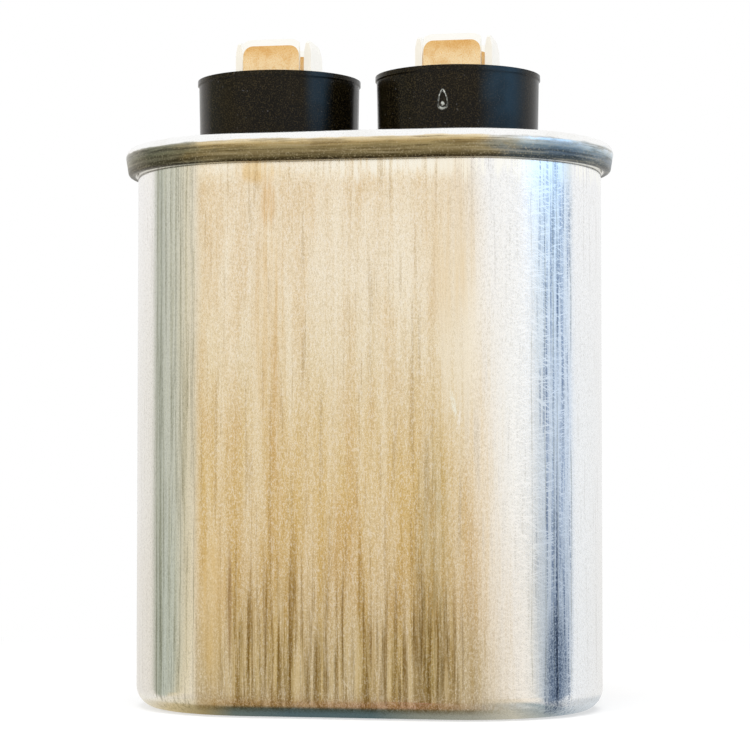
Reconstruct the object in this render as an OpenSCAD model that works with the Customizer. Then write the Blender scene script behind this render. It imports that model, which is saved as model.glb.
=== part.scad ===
// Motor run capacitor in an oval can, with a double-seamed cover, two insulating terminal
// cups and a cluster of four quick-connect blades in each cup.
//
// Frame: +Z up, origin on the base plane at the middle of the oval, +X along the oval's
// length, -Y towards the viewer. Sizes are in millimetres.
//
// The case is an oval: two half-round ends joined by two flat sides. Everything that follows
// the oval is a half profile, drawn outwards from the centre of an end, and swept round it.

/* [Case] */
// Length of the case over its rolled seam
seam_length = 54.9; // [50:0.1:64]
// Depth of the case over its rolled seam
seam_depth = 33.3; // [30:0.1:38]
// Height from the base to the top of the seam
case_height = 62.3; // [50:0.1:100]
// Sheet thickness of the drawn can
can_sheet = 0.35; // [0.3:0.05:0.5]
// Outside radius where the can's wall turns into its base
base_radius = 2.4; // [1.5:0.1:4]

/* [Cover and seam] */
// Sheet thickness of the cover
cover_sheet = 0.3; // [0.25:0.05:0.45]
// Height of the rolled seam
seam_height = 3.1; // [2.8:0.1:4]
// Depth of the cover's panel below the top of the seam
countersink = 3.6; // [3:0.1:5]
// Extra width of the can's hook, which makes the seam's outer wall lean in to its foot
hook_room = 0.24; // [0:0.02:0.3]
// Slack between the layers of the seam
seam_slack = 0.06; // [0.05:0.01:0.1]
// Drop of the can's hook below the cover's arch, where the sealing compound lies
hook_drop = 0.2; // [0.1:0.05:0.25]
// Depth of the sealing compound under the crown of the arch
compound_depth = 0.3; // [0.28:0.02:0.4]
// Inside radius between the cover's wall and its panel
panel_radius = 0.8; // [0.4:0.1:1.5]

/* [Terminal cups] */
// Distance between the two terminals
terminal_pitch = 20.4; // [19.6:0.1:23]
// Outside diameter of a cup at its wall
cup_diameter = 18.1; // [16:0.1:18.6]
// Height of a cup above the cover's panel
cup_height = 11.4; // [9:0.1:16]
// Wall thickness of a cup
cup_wall = 1.1; // [0.8:0.1:1.6]
// Height of the floor inside a cup above the panel
cup_floor = 3.6; // [3:0.1:5]
// Draft of the cup's wall, from the lip down to the base
cup_draft = 0.2; // [0:0.05:0.3]
// How far the lip stands out of the wall
lip_proud = 0.15; // [0.05:0.05:0.3]
// Height of the lip
lip_height = 0.5; // [0.3:0.1:1]
// Radius of the drop-shaped mark that the moulding gate leaves on the wall
gate_radius = 0.62; // [0.4:0.02:0.9]
// Height of the drop's point above its round end
gate_point = 1.55; // [1.3:0.05:2]
// Height of the drop's round end above the panel
gate_height = 7.2; // [5:0.1:8.5]
// Depth of the mark in the wall
gate_depth = 0.25; // [0.15:0.05:0.5]
// Radius of the broken stub inside the mark
gate_stub = 0.36; // [0.2:0.02:0.4]
// Turn of the left cup's mark from the front
gate_turn_left = 158; // [0:1:359]
// Turn of the right cup's mark from the front
gate_turn_right = -2; // [-180:1:180]

/* [Quick-connect terminals] */
// Width of a blade
blade_width = 6.35; // [4.8:0.05:6.4]
// Sheet thickness of a terminal
blade_sheet = 0.8; // [0.5:0.05:0.85]
// Distance over the outer faces of opposite blades
blade_spread = 8.6; // [8.2:0.1:9.6]
// Height of the blade tips above the cup's lip
blade_reach = 4.25; // [3:0.05:8]
// Inside radius of the bend under a blade
blade_bend = 0.5; // [0.3:0.05:0.6]
// Radius of the corners of a blade's face, inside the bevel
tip_corner = 1.1; // [0.5:0.1:1.6]
// Width of the bevel round a blade's tip
tip_bevel = 0.75; // [0.4:0.05:1.2]
// Thickness that the bevel takes off each face at its edge
tip_relief = 0.22; // [0.1:0.02:0.24]
// Diameter of the detent hole in a blade
detent_diameter = 1.7; // [1.2:0.1:2]
// Distance from a blade's tip to its detent hole
detent_drop = 4.3; // [3.6:0.1:4.7]
// Depth of the cross-shaped seat for the terminal in the cup's floor
seat_depth = 0.4; // [0.2:0.1:0.6]

/* [Rivet stack] */
// Diameter of the rivet's shank
rivet_diameter = 4; // [3:0.1:4.2]
// Diameter of the rivet's head
rivet_head = 5.6; // [5:0.1:5.8]
// Height of the rivet's head
rivet_rise = 1; // [0.6:0.1:1.2]
// Diameter of the rivet's clinched end
clinch_diameter = 6; // [5:0.1:6.6]
// Thickness of the rivet's clinched end
clinch_rise = 0.6; // [0.4:0.1:0.9]
// Diameter of the hole up the rivet's clinched end
clinch_bore = 2.2; // [1.2:0.1:2.6]
// Depth of the hole up the rivet's clinched end
clinch_depth = 2.4; // [1:0.1:4]
// Diameter of the sealing gasket under a cup
gasket_diameter = 12; // [10:0.1:13]
// Thickness of the gasket
gasket_thickness = 1; // [0.6:0.1:1.5]
// Wall of the insulating bushing round the rivet
bushing_wall = 0.6; // [0.4:0.1:1]
// Diameter of the bushing's flange under the cover
bushing_flange = 11; // [9:0.1:13]
// Thickness of the bushing's flange
bushing_rise = 1; // [0.6:0.1:1.5]
// Diameter of the solder lug's ring
lug_ring = 7.4; // [6.8:0.1:8.5]
// Sheet thickness of the solder lug
lug_sheet = 0.5; // [0.3:0.05:0.6]
// Width of the solder lug's tongue
lug_width = 3; // [2:0.1:4]
// Reach of the lug from the rivet to the outside of its tail
lug_reach = 6.5; // [5.8:0.1:8]
// Length of the lug's tail below its ring
lug_tail = 4; // [3:0.1:5]

/* [Wound element] */
// Free height over the element, where the cover can bulge and the leads run
head_space = 9.3; // [8.5:0.1:14]
// Diameter of a lead wire
lead_diameter = 0.8; // [0.6:0.05:1]
// Wall of the sleeve over the long lead
sleeve_wall = 0.3; // [0.2:0.05:0.5]
// Thickness of the film wrap round the winding
wrap_sheet = 0.25; // [0.15:0.05:0.4]
// Thickness of the sprayed zinc on each end of the winding
spray_sheet = 0.8; // [0.5:0.1:1.2]
// Thickness of the insulating plate over the element
plate_sheet = 1; // [0.6:0.1:1.5]
// Thickness of the flattened core
core_gap = 3; // [2.5:0.1:5]
// Wall of the flattened core
core_wall = 0.6; // [0.4:0.1:0.9]
// Floor of the insulating tray under the element
tray_floor = 2; // [1.6:0.1:3]
// Wall of the insulating tray
tray_wall = 0.7; // [0.5:0.1:1]
// Height of the insulating tray
tray_height = 8; // [5:0.1:14]
// Length of each lead's foot on the sprayed zinc
foot_length = 4.5; // [3:0.1:6]
// Radius of each solder joint
solder_radius = 1.5; // [1.2:0.1:2]

/* [Hidden] */
// Slack between pieces that are pushed together by hand
fit = 0.1;
// Slack of a piece that lies loose inside the can
loose = 0.3;
// Film of solder or compound between two pieces
wetting = 0.02;
// How far a cut runs past the face it opens
past = 1;
$fn = 96;

// The oval
end_span = seam_length - seam_depth;
seam_radius = seam_depth / 2;
hook_pitch = cover_sheet + 2 * seam_slack + hook_room;
overhang = hook_pitch + can_sheet + seam_slack + cover_sheet;
wall_radius = seam_radius - overhang;
bore_radius = wall_radius - can_sheet;

// The seam, from the can's wall outwards: cover hook, can hook, cover wall
seam_middle = wall_radius + hook_pitch / 2;
arch_radius = seam_radius - seam_middle;
hook_bend = hook_pitch / 2 + can_sheet;
arch_z = case_height - arch_radius;
hook_z = arch_z - hook_drop;
seam_foot = case_height - seam_height;
curl_radius = cover_sheet + seam_slack + can_sheet / 2;
curl_z = seam_foot + curl_radius;

// The outer wall leans until it touches the circles of the arch and of the curl
curl_inset = seam_middle - wall_radius - seam_slack - curl_radius;
curl_drop = arch_z - curl_z;
curl_reach = arch_radius - curl_radius;
seam_lean = atan2(curl_drop, -curl_inset) - acos(curl_reach / norm([curl_inset, curl_drop]));

// The cover's pan
chuck_radius = bore_radius - seam_slack;
panel_z = case_height - countersink;
panel_under = panel_z - cover_sheet;

// The rivet stack
shank_radius = rivet_diameter / 2;
tube_radius = shank_radius + fit + bushing_wall;
cover_hole = tube_radius + fit;
seat_z = panel_z + cup_floor - seat_depth;
plate_top = seat_z + blade_sheet;
tip_z = panel_z + cup_height + blade_reach;
flange_under = panel_under - bushing_rise;
lug_under = flange_under - lug_sheet;
clinch_under = lug_under - clinch_rise;
tail_under = lug_under - lug_tail;

// The element
lead_radius = lead_diameter / 2;
sleeve_bore = lead_radius + wetting;
sleeve_radius = sleeve_bore + sleeve_wall;
long_lead_r = bore_radius - fit - sleeve_radius;
wrap_radius = long_lead_r - sleeve_radius - fit;
winding_radius = wrap_radius - wrap_sheet - fit;
tray_radius = bore_radius - loose;
tray_top = can_sheet + tray_floor;
winding_z = tray_top + spray_sheet;
element_top = panel_under - head_space;
top_spray_z = element_top - plate_sheet - spray_sheet;
winding_height = top_spray_z - winding_z;
foot_z = element_top - plate_sheet + lead_radius + wetting;
groove_z = tray_top - lead_radius - wetting;
lead_x = terminal_pitch / 2 + lug_reach - lug_sheet - lead_radius - wetting;
long_lead_x = end_span / 2 + long_lead_r;
crossing_z = (element_top + tail_under) / 2;
lead_top = lug_under - lug_tail / 4;

// ---------------------------------------------------------------- shared shapes

// Sweeps a half profile round the oval. The profile's x runs outwards from the centre of
// an end and its y runs up.
module around_oval() {
    for (side = [-1, 1]) {
        translate([side * end_span / 2, 0, 0])
            rotate([0, 0, -90 * side])
                rotate_extrude(angle = 180) children();
        rotate([0, 0, 90 - 90 * side])
            translate([-end_span / 2, 0, 0])
                rotate([90, 0, 90])
                    linear_extrude(end_span) children();
    }
}

// The oval itself, filled, at a given radius of its ends.
module oval(radius) {
    square([end_span, 2 * radius], center = true);
    for (side = [-1, 1])
        translate([side * end_span / 2, 0]) circle(radius);
}

// A flat oval plate or block.
module oval_block(radius, height) {
    linear_extrude(height) oval(radius);
}

// One quarter of a bent sheet seen from its edge. Quarter 0 is up and right, 1 up and
// left, 2 down and left, 3 down and right.
module bent_sheet(outside, sheet, quarter) {
    intersection() {
        difference() {
            circle(outside);
            circle(outside - sheet);
        }
        rotate(90 * quarter) square(outside);
    }
}

// The filled half profile of a block with a rounded lower edge.
module rounded_foot(radius, height, corner) {
    square([radius - corner, height]);
    translate([0, corner]) square([radius, height - corner]);
    translate([radius - corner, corner]) circle(corner);
}

// The half profile of an open pan: a floor, a rounded corner and a wall.
module pan(radius, height, wall, base, corner, inner_corner) {
    difference() {
        rounded_foot(radius, height, corner);
        translate([0, base]) rounded_foot(radius - wall, height, inner_corner);
    }
}

// Places a piece of the left terminal (side = -1) or of the right one (side = 1).
module at_terminal(side) {
    translate([side * terminal_pitch / 2, 0, 0]) children();
}

// A round wire through a list of points, with a ball at each bend.
module wire(points, radius) {
    for (i = [0 : len(points) - 2]) {
        run = points[i + 1] - points[i];
        length = norm(run);
        translate(points[i])
            rotate([0, acos(run.z / length), atan2(run.y, run.x)])
                cylinder(r = radius, h = length);
    }
    for (i = [1 : 1 : len(points) - 2])
        translate(points[i]) sphere(radius);
}

// ---------------------------------------------------------------- can and cover

// The can: drawn in one piece, with its top flanged outwards and down into a hook.
module can() {
    color("gainsboro") around_oval() {
        pan(wall_radius, hook_z, can_sheet, can_sheet, base_radius, base_radius - can_sheet);
        leaning_hook(hook_z, hook_bend, can_sheet, hook_bend);
    }
}

// A sheet bent right over the middle of the seam, about a centre at height z. Its outer
// leg leans in, down to where a point reach outwards of the centre is level with the
// curl's. What else hangs on it goes there.
module leaning_hook(z, outside, sheet, reach) {
    leg = (z - curl_z - reach * sin(seam_lean)) / cos(seam_lean);
    translate([seam_middle, z]) {
        bent_sheet(outside, sheet, 0);
        bent_sheet(outside, sheet, 1);
        rotate(-seam_lean) {
            bent_sheet(outside, sheet, 0);
            translate([outside - sheet, -leg]) square([sheet, leg]);
            translate([reach, -leg]) children();
        }
    }
}

// The edge of the cover outside its wall: it arches over the can's hook, leans in
// outside it, and curls under and up behind it.
module seam_profile() {
    leaning_hook(arch_z, arch_radius, cover_sheet, curl_reach) {
        bent_sheet(curl_radius, cover_sheet, 3);
        rotate(seam_lean) {
            bent_sheet(curl_radius, cover_sheet, 2);
            translate([-curl_radius, 0])
                square([cover_sheet, hook_z - curl_z - seam_slack]);
        }
    }
}

// The cover: a pressed pan whose edge is rolled with the can's flange into a double seam.
module cover() {
    color("silver") difference() {
        around_oval() {
            translate([0, panel_under])
                pan(chuck_radius, arch_z - panel_under, cover_sheet, cover_sheet,
                    panel_radius + cover_sheet, panel_radius);
            seam_profile();
        }
        for (side = [-1, 1])
            at_terminal(side)
                translate([0, 0, panel_under - past])
                    cylinder(r = cover_hole, h = cover_sheet + 2 * past);
    }
}

// The sealing compound, squeezed between the cover's arch and the can's hook.
module seam_compound() {
    inside = arch_radius - cover_sheet - wetting;
    color("dimgray") around_oval()
        translate([seam_middle, arch_z])
            difference() {
                intersection() {
                    circle(inside);
                    translate([-inside, inside - compound_depth])
                        square([2 * inside, compound_depth]);
                }
                translate([0, -hook_drop]) circle(hook_bend + wetting);
            }
}

// ---------------------------------------------------------------- terminal cups

// The mark that the moulding gate leaves: a drop-shaped dimple round a broken stub.
module gate_mark(turn) {
    radius = cup_diameter / 2;
    flank = acos(gate_radius / gate_point);
    rotate([0, 0, turn])
        translate([0, gate_depth - radius, panel_z + gate_height])
            rotate([90, 0, 0])
                linear_extrude(radius) difference() {
                    union() {
                        circle(gate_radius);
                        polygon([
                            [0, gate_point],
                            gate_radius * [sin(flank), cos(flank)],
                            gate_radius * [-sin(flank), cos(flank)],
                        ]);
                    }
                    circle(gate_stub);
                }
}

// A moulded cup: a drafted wall with a lip, a floor with a seat for the terminal, and a
// recess underneath for the gasket.
module cup(side, gate_turn) {
    radius = cup_diameter / 2;
    well = radius - cup_wall;
    color("#1b1b1d") at_terminal(side) difference() {
        translate([0, 0, panel_z]) rotate_extrude() difference() {
            polygon([
                [0, 0],
                [radius - cup_draft, 0],
                [radius, cup_height - lip_height - lip_proud],
                [radius + lip_proud, cup_height - lip_height],
                [radius + lip_proud, cup_height],
                [0, cup_height],
            ]);
            translate([0, cup_floor]) rounded_foot(well, cup_height, cup_wall / 2);
        }
        translate([0, 0, panel_z - past])
            cylinder(r = gasket_diameter / 2 + fit, h = gasket_thickness + past);
        cylinder(r = shank_radius + fit, h = case_height + cup_height);
        translate([0, 0, seat_z + cup_height / 2])
            for (turn = [0, 90])
                rotate([0, 0, turn])
                    cube([blade_width + 2 * fit, blade_spread + 2 * fit, cup_height],
                         center = true);
        gate_mark(gate_turn);
    }
}

// The rubber gasket between a cup and the cover.
module gasket(side) {
    color("black") at_terminal(side)
        translate([0, 0, panel_z]) difference() {
            cylinder(d = gasket_diameter, h = gasket_thickness);
            translate([0, 0, -past])
                cylinder(r = cover_hole, h = gasket_thickness + 2 * past);
        }
}

// The insulating bushing: a flange under the cover and a tube up through its hole.
module bushing(side) {
    tube = cover_sheet + gasket_thickness - fit;
    color("wheat") at_terminal(side)
        translate([0, 0, flange_under]) difference() {
            union() {
                cylinder(d = bushing_flange, h = bushing_rise);
                cylinder(r = tube_radius, h = bushing_rise + tube);
            }
            translate([0, 0, -past])
                cylinder(r = shank_radius + fit, h = bushing_rise + tube + 2 * past);
        }
}

// ---------------------------------------------------------------- terminals

// The section of a blade's tip, outwards from its corners' centres: flat, then bevelled.
module tip_profile() {
    polygon([
        [0, 0],
        [tip_corner, 0],
        [tip_corner + tip_bevel, tip_relief],
        [tip_corner + tip_bevel, blade_sheet - tip_relief],
        [tip_corner, blade_sheet],
        [0, blade_sheet],
    ]);
}

// A blade's tip, from its corners' centres upwards: the profile runs along the top and
// turns round each corner, and the blade's sides cut it off.
module blade_tip() {
    middle = blade_width / 2 - tip_corner;
    intersection() {
        union() {
            rotate([0, -90, 0])
                linear_extrude(2 * middle, center = true) tip_profile();
            for (side = [0, 1])
                mirror([side, 0, 0])
                    translate([middle, 0, 0])
                        rotate([90, 0, 0])
                            mirror([0, 0, 1])
                                rotate_extrude(angle = 90) tip_profile();
        }
        cube([blade_width, 4 * blade_sheet, 4 * blade_width], center = true);
    }
}

// One arm of a terminal: half the strip over the middle, the bend and the blade.
module arm() {
    shoulder = tip_z - seat_z - tip_corner - tip_bevel;
    bend = blade_bend + blade_sheet;
    rotate([90, 0, 90])
        linear_extrude(blade_width, center = true)
            pan(blade_spread / 2, shoulder, blade_sheet, blade_sheet, bend, blade_bend);
    translate([0, blade_spread / 2 - blade_sheet, shoulder]) blade_tip();
}

// A stamped terminal: a cross of sheet bent up into four blades, each with a detent hole.
module terminal(side) {
    color("#c9a659") at_terminal(side) translate([0, 0, seat_z]) difference() {
        for (turn = [0 : 90 : 270])
            rotate([0, 0, turn]) arm();
        translate([0, 0, -past])
            cylinder(r = shank_radius + fit, h = blade_sheet + 2 * past);
        for (turn = [0, 90])
            rotate([90, 0, turn])
                translate([0, tip_z - seat_z - detent_drop, -blade_spread])
                    cylinder(d = detent_diameter, h = 2 * blade_spread);
    }
}

// The rivet that clamps a terminal's whole stack: a domed head, a shank and a clinched end.
module rivet(side) {
    half = rivet_head / 2;
    dome = (half * half + rivet_rise * rivet_rise) / (2 * rivet_rise);
    color("lightgray") at_terminal(side) rotate_extrude() {
        intersection() {
            translate([0, plate_top + rivet_rise - dome]) circle(dome);
            translate([0, plate_top]) square([half, rivet_rise]);
        }
        translate([0, clinch_under + clinch_depth])
            square([shank_radius, plate_top - clinch_under - clinch_depth]);
        translate([clinch_bore / 2, clinch_under])
            square([shank_radius - clinch_bore / 2, clinch_depth]);
        translate([clinch_bore / 2, clinch_under])
            rounded_foot((clinch_diameter - clinch_bore) / 2, clinch_rise, clinch_rise / 2);
    }
}

// The solder lug on the rivet's inner end: a ring, a tongue and a tail bent down.
module lug(side) {
    outside = 2 * lug_sheet;
    color("tan") at_terminal(side) rotate([0, 0, 90 - 90 * side])
        translate([0, 0, lug_under]) difference() {
            union() {
                cylinder(d = lug_ring, h = lug_sheet);
                translate([0, -lug_width / 2, 0])
                    cube([lug_reach - outside, lug_width, lug_sheet]);
                translate([lug_reach - outside, lug_width / 2, lug_sheet - outside])
                    rotate([90, 0, 0])
                        linear_extrude(lug_width) bent_sheet(outside, lug_sheet, 0);
                translate([lug_reach - lug_sheet, -lug_width / 2, -lug_tail])
                    cube([lug_sheet, lug_width, lug_tail + lug_sheet - outside]);
            }
            translate([0, 0, -past])
                cylinder(r = shank_radius + fit, h = lug_sheet + 2 * past);
        }
}

// ---------------------------------------------------------------- leads

// The short lead runs from its foot on the upper zinc to the left lug.
short_route = [
    [foot_length - lead_x, 0, foot_z],
    [-lead_x, 0, foot_z],
    [-lead_x, 0, lead_top],
];

// The long lead runs from the lower zinc under and past the element to the right lug.
long_route = [
    [lead_x, 0, groove_z],
    [long_lead_x, 0, groove_z],
    [long_lead_x, 0, crossing_z],
    [lead_x, 0, crossing_z],
    [lead_x, 0, lead_top],
];

module short_lead() {
    color("lightgray") wire(short_route, lead_radius);
}

module long_lead() {
    color("lightgray") wire(long_route, lead_radius);
}

// The sleeve over the long lead, where it passes the element.
module lead_sleeve() {
    start = tray_top + loose;
    color("seashell") translate([long_lead_x, 0, start]) difference() {
        cylinder(r = sleeve_radius, h = element_top - start);
        translate([0, 0, -past])
            cylinder(r = sleeve_bore, h = element_top - start + 2 * past);
    }
}

// A joint of solder over a lead's foot, on the face of the sprayed zinc.
module upper_solder() {
    middle = foot_length / 2 - lead_x;
    color("lightslategray") difference() {
        translate([middle, 0, element_top - plate_sheet]) intersection() {
            sphere(solder_radius);
            translate([0, 0, solder_radius]) cube(2 * solder_radius, center = true);
        }
        wire(short_route, lead_radius + 2 * wetting);
    }
}

module lower_solder() {
    color("lightslategray") difference() {
        translate([lead_x + foot_length / 2, 0, tray_top]) intersection() {
            sphere(solder_radius);
            translate([0, 0, -solder_radius]) cube(2 * solder_radius, center = true);
        }
        wire(long_route, lead_radius + 2 * wetting);
    }
}

// ---------------------------------------------------------------- wound element

// The roll of metallised film, pressed flat. Its turns are one solid.
module winding() {
    color("#d9d4c6") translate([0, 0, winding_z]) difference() {
        oval_block(winding_radius, winding_height);
        translate([0, 0, -past])
            oval_block(core_gap / 2 + wetting, winding_height + 2 * past);
    }
}

// The flattened plastic core that the film is wound on.
module winding_core() {
    color("white") translate([0, 0, winding_z]) difference() {
        oval_block(core_gap / 2, winding_height);
        translate([0, 0, -past])
            oval_block(core_gap / 2 - core_wall, winding_height + 2 * past);
    }
}

// The zinc sprayed on an end of the roll, which joins all its turns.
module spray(z) {
    color("slategray") translate([0, 0, z]) oval_block(winding_radius, spray_sheet);
}

// The film wrapped round the roll, standing in the tray.
module insulating_wrap() {
    height = element_top - plate_sheet - tray_top;
    color("khaki") translate([0, 0, tray_top]) difference() {
        oval_block(wrap_radius, height);
        translate([0, 0, -past])
            oval_block(wrap_radius - wrap_sheet, height + 2 * past);
    }
}

// The plate over the element, with a window for the short lead's foot.
module insulating_plate() {
    window = solder_radius + loose;
    color("burlywood") translate([0, 0, element_top - plate_sheet]) difference() {
        oval_block(wrap_radius, plate_sheet);
        for (x = [-lead_x, foot_length - lead_x])
            translate([x, 0, -past]) cylinder(r = window, h = plate_sheet + 2 * past);
        translate([-lead_x, -window, -past])
            cube([foot_length, 2 * window, plate_sheet + 2 * past]);
    }
}

// The tray under the element, with a groove and a slot for the long lead.
module insulating_tray() {
    groove = lead_diameter + 2 * loose;
    slot = 2 * (sleeve_radius + loose);
    color("ivory") translate([0, 0, can_sheet]) difference() {
        around_oval()
            pan(tray_radius, tray_height, tray_wall, tray_floor, base_radius, loose);
        translate([lead_x - loose, -groove / 2, tray_floor - groove])
            cube([tray_radius + end_span, groove, groove + past]);
        translate([long_lead_x - slot / 2, -slot / 2, tray_floor])
            cube([slot, slot, tray_height]);
        translate([lead_x + foot_length / 2, 0, tray_floor])
            sphere(solder_radius + fit);
    }
}

can();
cover();
seam_compound();
cup(-1, gate_turn_left);  // left_cup
cup(1, gate_turn_right);  // right_cup
terminal(-1);  // left_terminal
terminal(1);  // right_terminal
rivet(-1);  // left_rivet
rivet(1);  // right_rivet
gasket(-1);  // left_gasket
gasket(1);  // right_gasket
bushing(-1);  // left_bushing
bushing(1);  // right_bushing
lug(-1);  // left_lug
lug(1);  // right_lug
short_lead();
long_lead();
lead_sleeve();
upper_solder();
lower_solder();
winding();
winding_core();
spray(top_spray_z);  // upper_spray
spray(tray_top);  // lower_spray
insulating_wrap();
insulating_plate();
insulating_tray();
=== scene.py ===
# %% [markdown]
# # Motor run capacitor
#
# This lesson dresses a motor run capacitor. The solids come ready from the CAD part: a
# drawn oval can, a cover rolled onto it in a double seam, two moulded cups and two
# clusters of brass blades. What is left to do here is what the eye sees: bare metal with
# the marks of its making, black plastic, plated rivets, and the light they stand in.
#
# All lengths are in metres, with the origin under the middle of the can, +Z up and -Y
# towards the viewer.

import math

import bmesh
import bpy
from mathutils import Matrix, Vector

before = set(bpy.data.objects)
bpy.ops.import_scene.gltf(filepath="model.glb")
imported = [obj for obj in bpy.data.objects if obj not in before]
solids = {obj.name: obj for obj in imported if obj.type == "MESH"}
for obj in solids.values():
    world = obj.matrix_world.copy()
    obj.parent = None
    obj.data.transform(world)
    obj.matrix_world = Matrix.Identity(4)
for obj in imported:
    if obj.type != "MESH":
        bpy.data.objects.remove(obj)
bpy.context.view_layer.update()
MM = 0.001
# Half the straight part of the oval, which is a line between its two centres.
HALF_FLAT = 10.8 * MM

# %% [markdown]
# ## Helpers
#
# Colours are written as the eye reads them, as sRGB hex values, but a shader works in
# linear light. One function turns the first into the second. Another adds a shader node
# together with its settings and links, so that a material reads from top to bottom: a
# node that is given as an input is linked by its first output. The rest put together
# the few nodes that come up again and again: a tint, a mask, a frayed edge, and the
# distance from a ball or from a line.

# %% Colour and shader helpers


def linear(code, alpha=1.0):
    """An sRGB hex value as a linear colour."""
    channels = [int(code[i : i + 2], 16) / 255 for i in (1, 3, 5)]
    return [
        c / 12.92 if c <= 0.04045 else ((c + 0.055) / 1.055) ** 2.4 for c in channels
    ] + [alpha]


def add(tree, kind, settings=None, inputs=None):
    """A shader node with its settings, and its sockets set or linked."""
    made = tree.nodes.new("ShaderNode" + kind)
    for name, value in (settings or {}).items():
        if name == "stops":
            ramp = made.color_ramp.elements
            while len(ramp) > 1:
                ramp.remove(ramp[-1])
            for number, (position, code) in enumerate(value):
                stop = ramp.new(position) if number else ramp[0]
                stop.position = position
                stop.color = linear(code)
        else:
            setattr(made, name, value)
    for socket, value in (inputs or {}).items():
        if isinstance(value, bpy.types.Node):
            value = next(output for output in value.outputs if output.enabled)
        if isinstance(value, bpy.types.NodeSocket):
            tree.links.new(value, made.inputs[socket])
        else:
            made.inputs[socket].default_value = value
    return made


# The sockets of a Mix node that mixes colours, by number, and what sets it to that.
MIX_A, MIX_B = 6, 7
COLOUR_MIX = {"data_type": "RGBA"}
SMOOTH = {"interpolation_type": "SMOOTHSTEP"}
MIN_IN, MAX_IN, MIN_OUT, MAX_OUT = "From Min", "From Max", "To Min", "To Max"
# A mask that leaves nothing out, and the middle of what noise gives.
EVERYWHERE = 1.0
NOISE_MIDDLE = 0.5


def new_material(name):
    """An empty node material, and its tree."""
    material = bpy.data.materials.new(name)
    material.use_nodes = True
    material.node_tree.nodes.clear()
    return material, material.node_tree


def tinted(tree, colour, value, start, full, strength, code, kind="MIX", where=1.0):
    """A colour that takes on a tint while a value goes from start to full."""
    amount = add(
        tree,
        "MapRange",
        SMOOTH,
        {"Value": value, MIN_IN: start, MAX_IN: full, MAX_OUT: strength},
    )
    amount = add(tree, "Math", {"operation": "MULTIPLY"}, {0: amount, 1: where})
    return add(
        tree,
        "Mix",
        {**COLOUR_MIX, "blend_type": kind},
        {0: amount, MIX_A: colour, MIX_B: linear(code)},
    )


def narrowed(tree, mask, value, start, end, low=0.0, high=1.0):
    """A mask times a smooth step, which is low at start and high at end."""
    step = add(
        tree,
        "MapRange",
        SMOOTH,
        {"Value": value, MIN_IN: start, MAX_IN: end, MIN_OUT: low, MAX_OUT: high},
    )
    return add(tree, "Math", {"operation": "MULTIPLY"}, {0: mask, 1: step})


def frayed(tree, value, noise, reach):
    """A value that noise shifts, so that an edge drawn by it frays."""
    shift = add(tree, "Math", {"operation": "SUBTRACT"}, {0: noise, 1: NOISE_MIDDLE})
    return add(
        tree, "Math", {"operation": "MULTIPLY_ADD"}, {0: shift, 1: reach, 2: value}
    )


def from_ball(tree, place, middle, size, turn=0):
    """How far a place is from a stretched ball's middle, where 1 is its surface.

    Middle and half size are in mm, and the turn is in degrees about Y.
    """
    turned = add(
        tree,
        "Mapping",
        {"vector_type": "TEXTURE"},
        {
            "Vector": place,
            "Location": [v * MM for v in middle],
            "Rotation": (0, math.radians(turn), 0),
            "Scale": [v * MM for v in size],
        },
    )
    return add(tree, "VectorMath", {"operation": "LENGTH"}, {0: turned}).outputs["Value"]


def nearest_between(tree, place, low, high):
    """The point between two corners that is nearest to a place."""
    near = add(tree, "VectorMath", {"operation": "MAXIMUM"}, {0: place, 1: low})
    return add(tree, "VectorMath", {"operation": "MINIMUM"}, {0: near, 1: high})


print("white is", linear("#FFFFFF"))

# %% [markdown]
# ## Drawn aluminium
#
# The can is deep-drawn from soft aluminium sheet. The die drags fine lines up the wall,
# all the way round, so reflections break up into upright streaks. The wide faces carry a
# straw tint that is partly a film of oxide and old grease and partly painted reflection
# of warm surroundings. It darkens downwards as painted reflection of the floor in front,
# and near the base it breaks into ragged upright streaks of that painted reflection. A
# picture of such streaks would not wrap round the oval. Noise in the object's own space
# does, when it is squeezed across and stretched upwards, so every layer here is one such
# noise with a size.

# %% Grain of the drawn wall
# The finest real lines are a few hundredths of a millimetre wide and would not show, so
# the finest layers are drawn as coarse as they need to be, about 0.15 mm.
# name: width, length in mm, turn in degrees about Y and Z, detail
WALL_GRAIN = {
    "hair": (0.17, 3.6, 0, 0, 3.0),
    "line": (0.42, 14, 0, 0, 2.0),
    "rag": (0.48, 24, 0, 0, 3.0),
    "band": (1.7, 30, 0, 0, 2.0),
    "cloud": (3.2, 20, 0, 0, 3.0),
    "fleck": (0.13, 0.4, 0, 0, 2.0),
    "rub": (0.16, 2.2, 80, 42, 2.0),
    "counter_rub": (0.16, 1.8, 118, 42, 2.0),
    "frost": (0.15, 0.19, 0, 0, 2.0),
}
drawn, tree = new_material("drawn_aluminium")
place = add(tree, "TexCoord").outputs["Object"]
wall = {}
for name, (width, length, about_y, about_z, detail) in WALL_GRAIN.items():
    turned = add(
        tree,
        "Mapping",
        {"vector_type": "TEXTURE"},
        {
            "Vector": place,
            "Rotation": (0, math.radians(about_y), math.radians(about_z)),
            "Scale": (width * MM, width * MM, length * MM),
        },
    )
    wall[name] = add(
        tree,
        "TexNoise",
        {},
        {"Vector": turned, "Scale": 1.0, "Detail": detail, "Roughness": 0.6},
    )
print("grain layers:", ", ".join(wall))

# %% Marks of its life, and two painted reflections
# Single marks are stretched balls of colour: where a mark's ball cuts the wall it shows,
# fully to a third of the way out and fading to its surface.
MARK_FULL, MARK_ENDS = 0.35, 1.0
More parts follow.
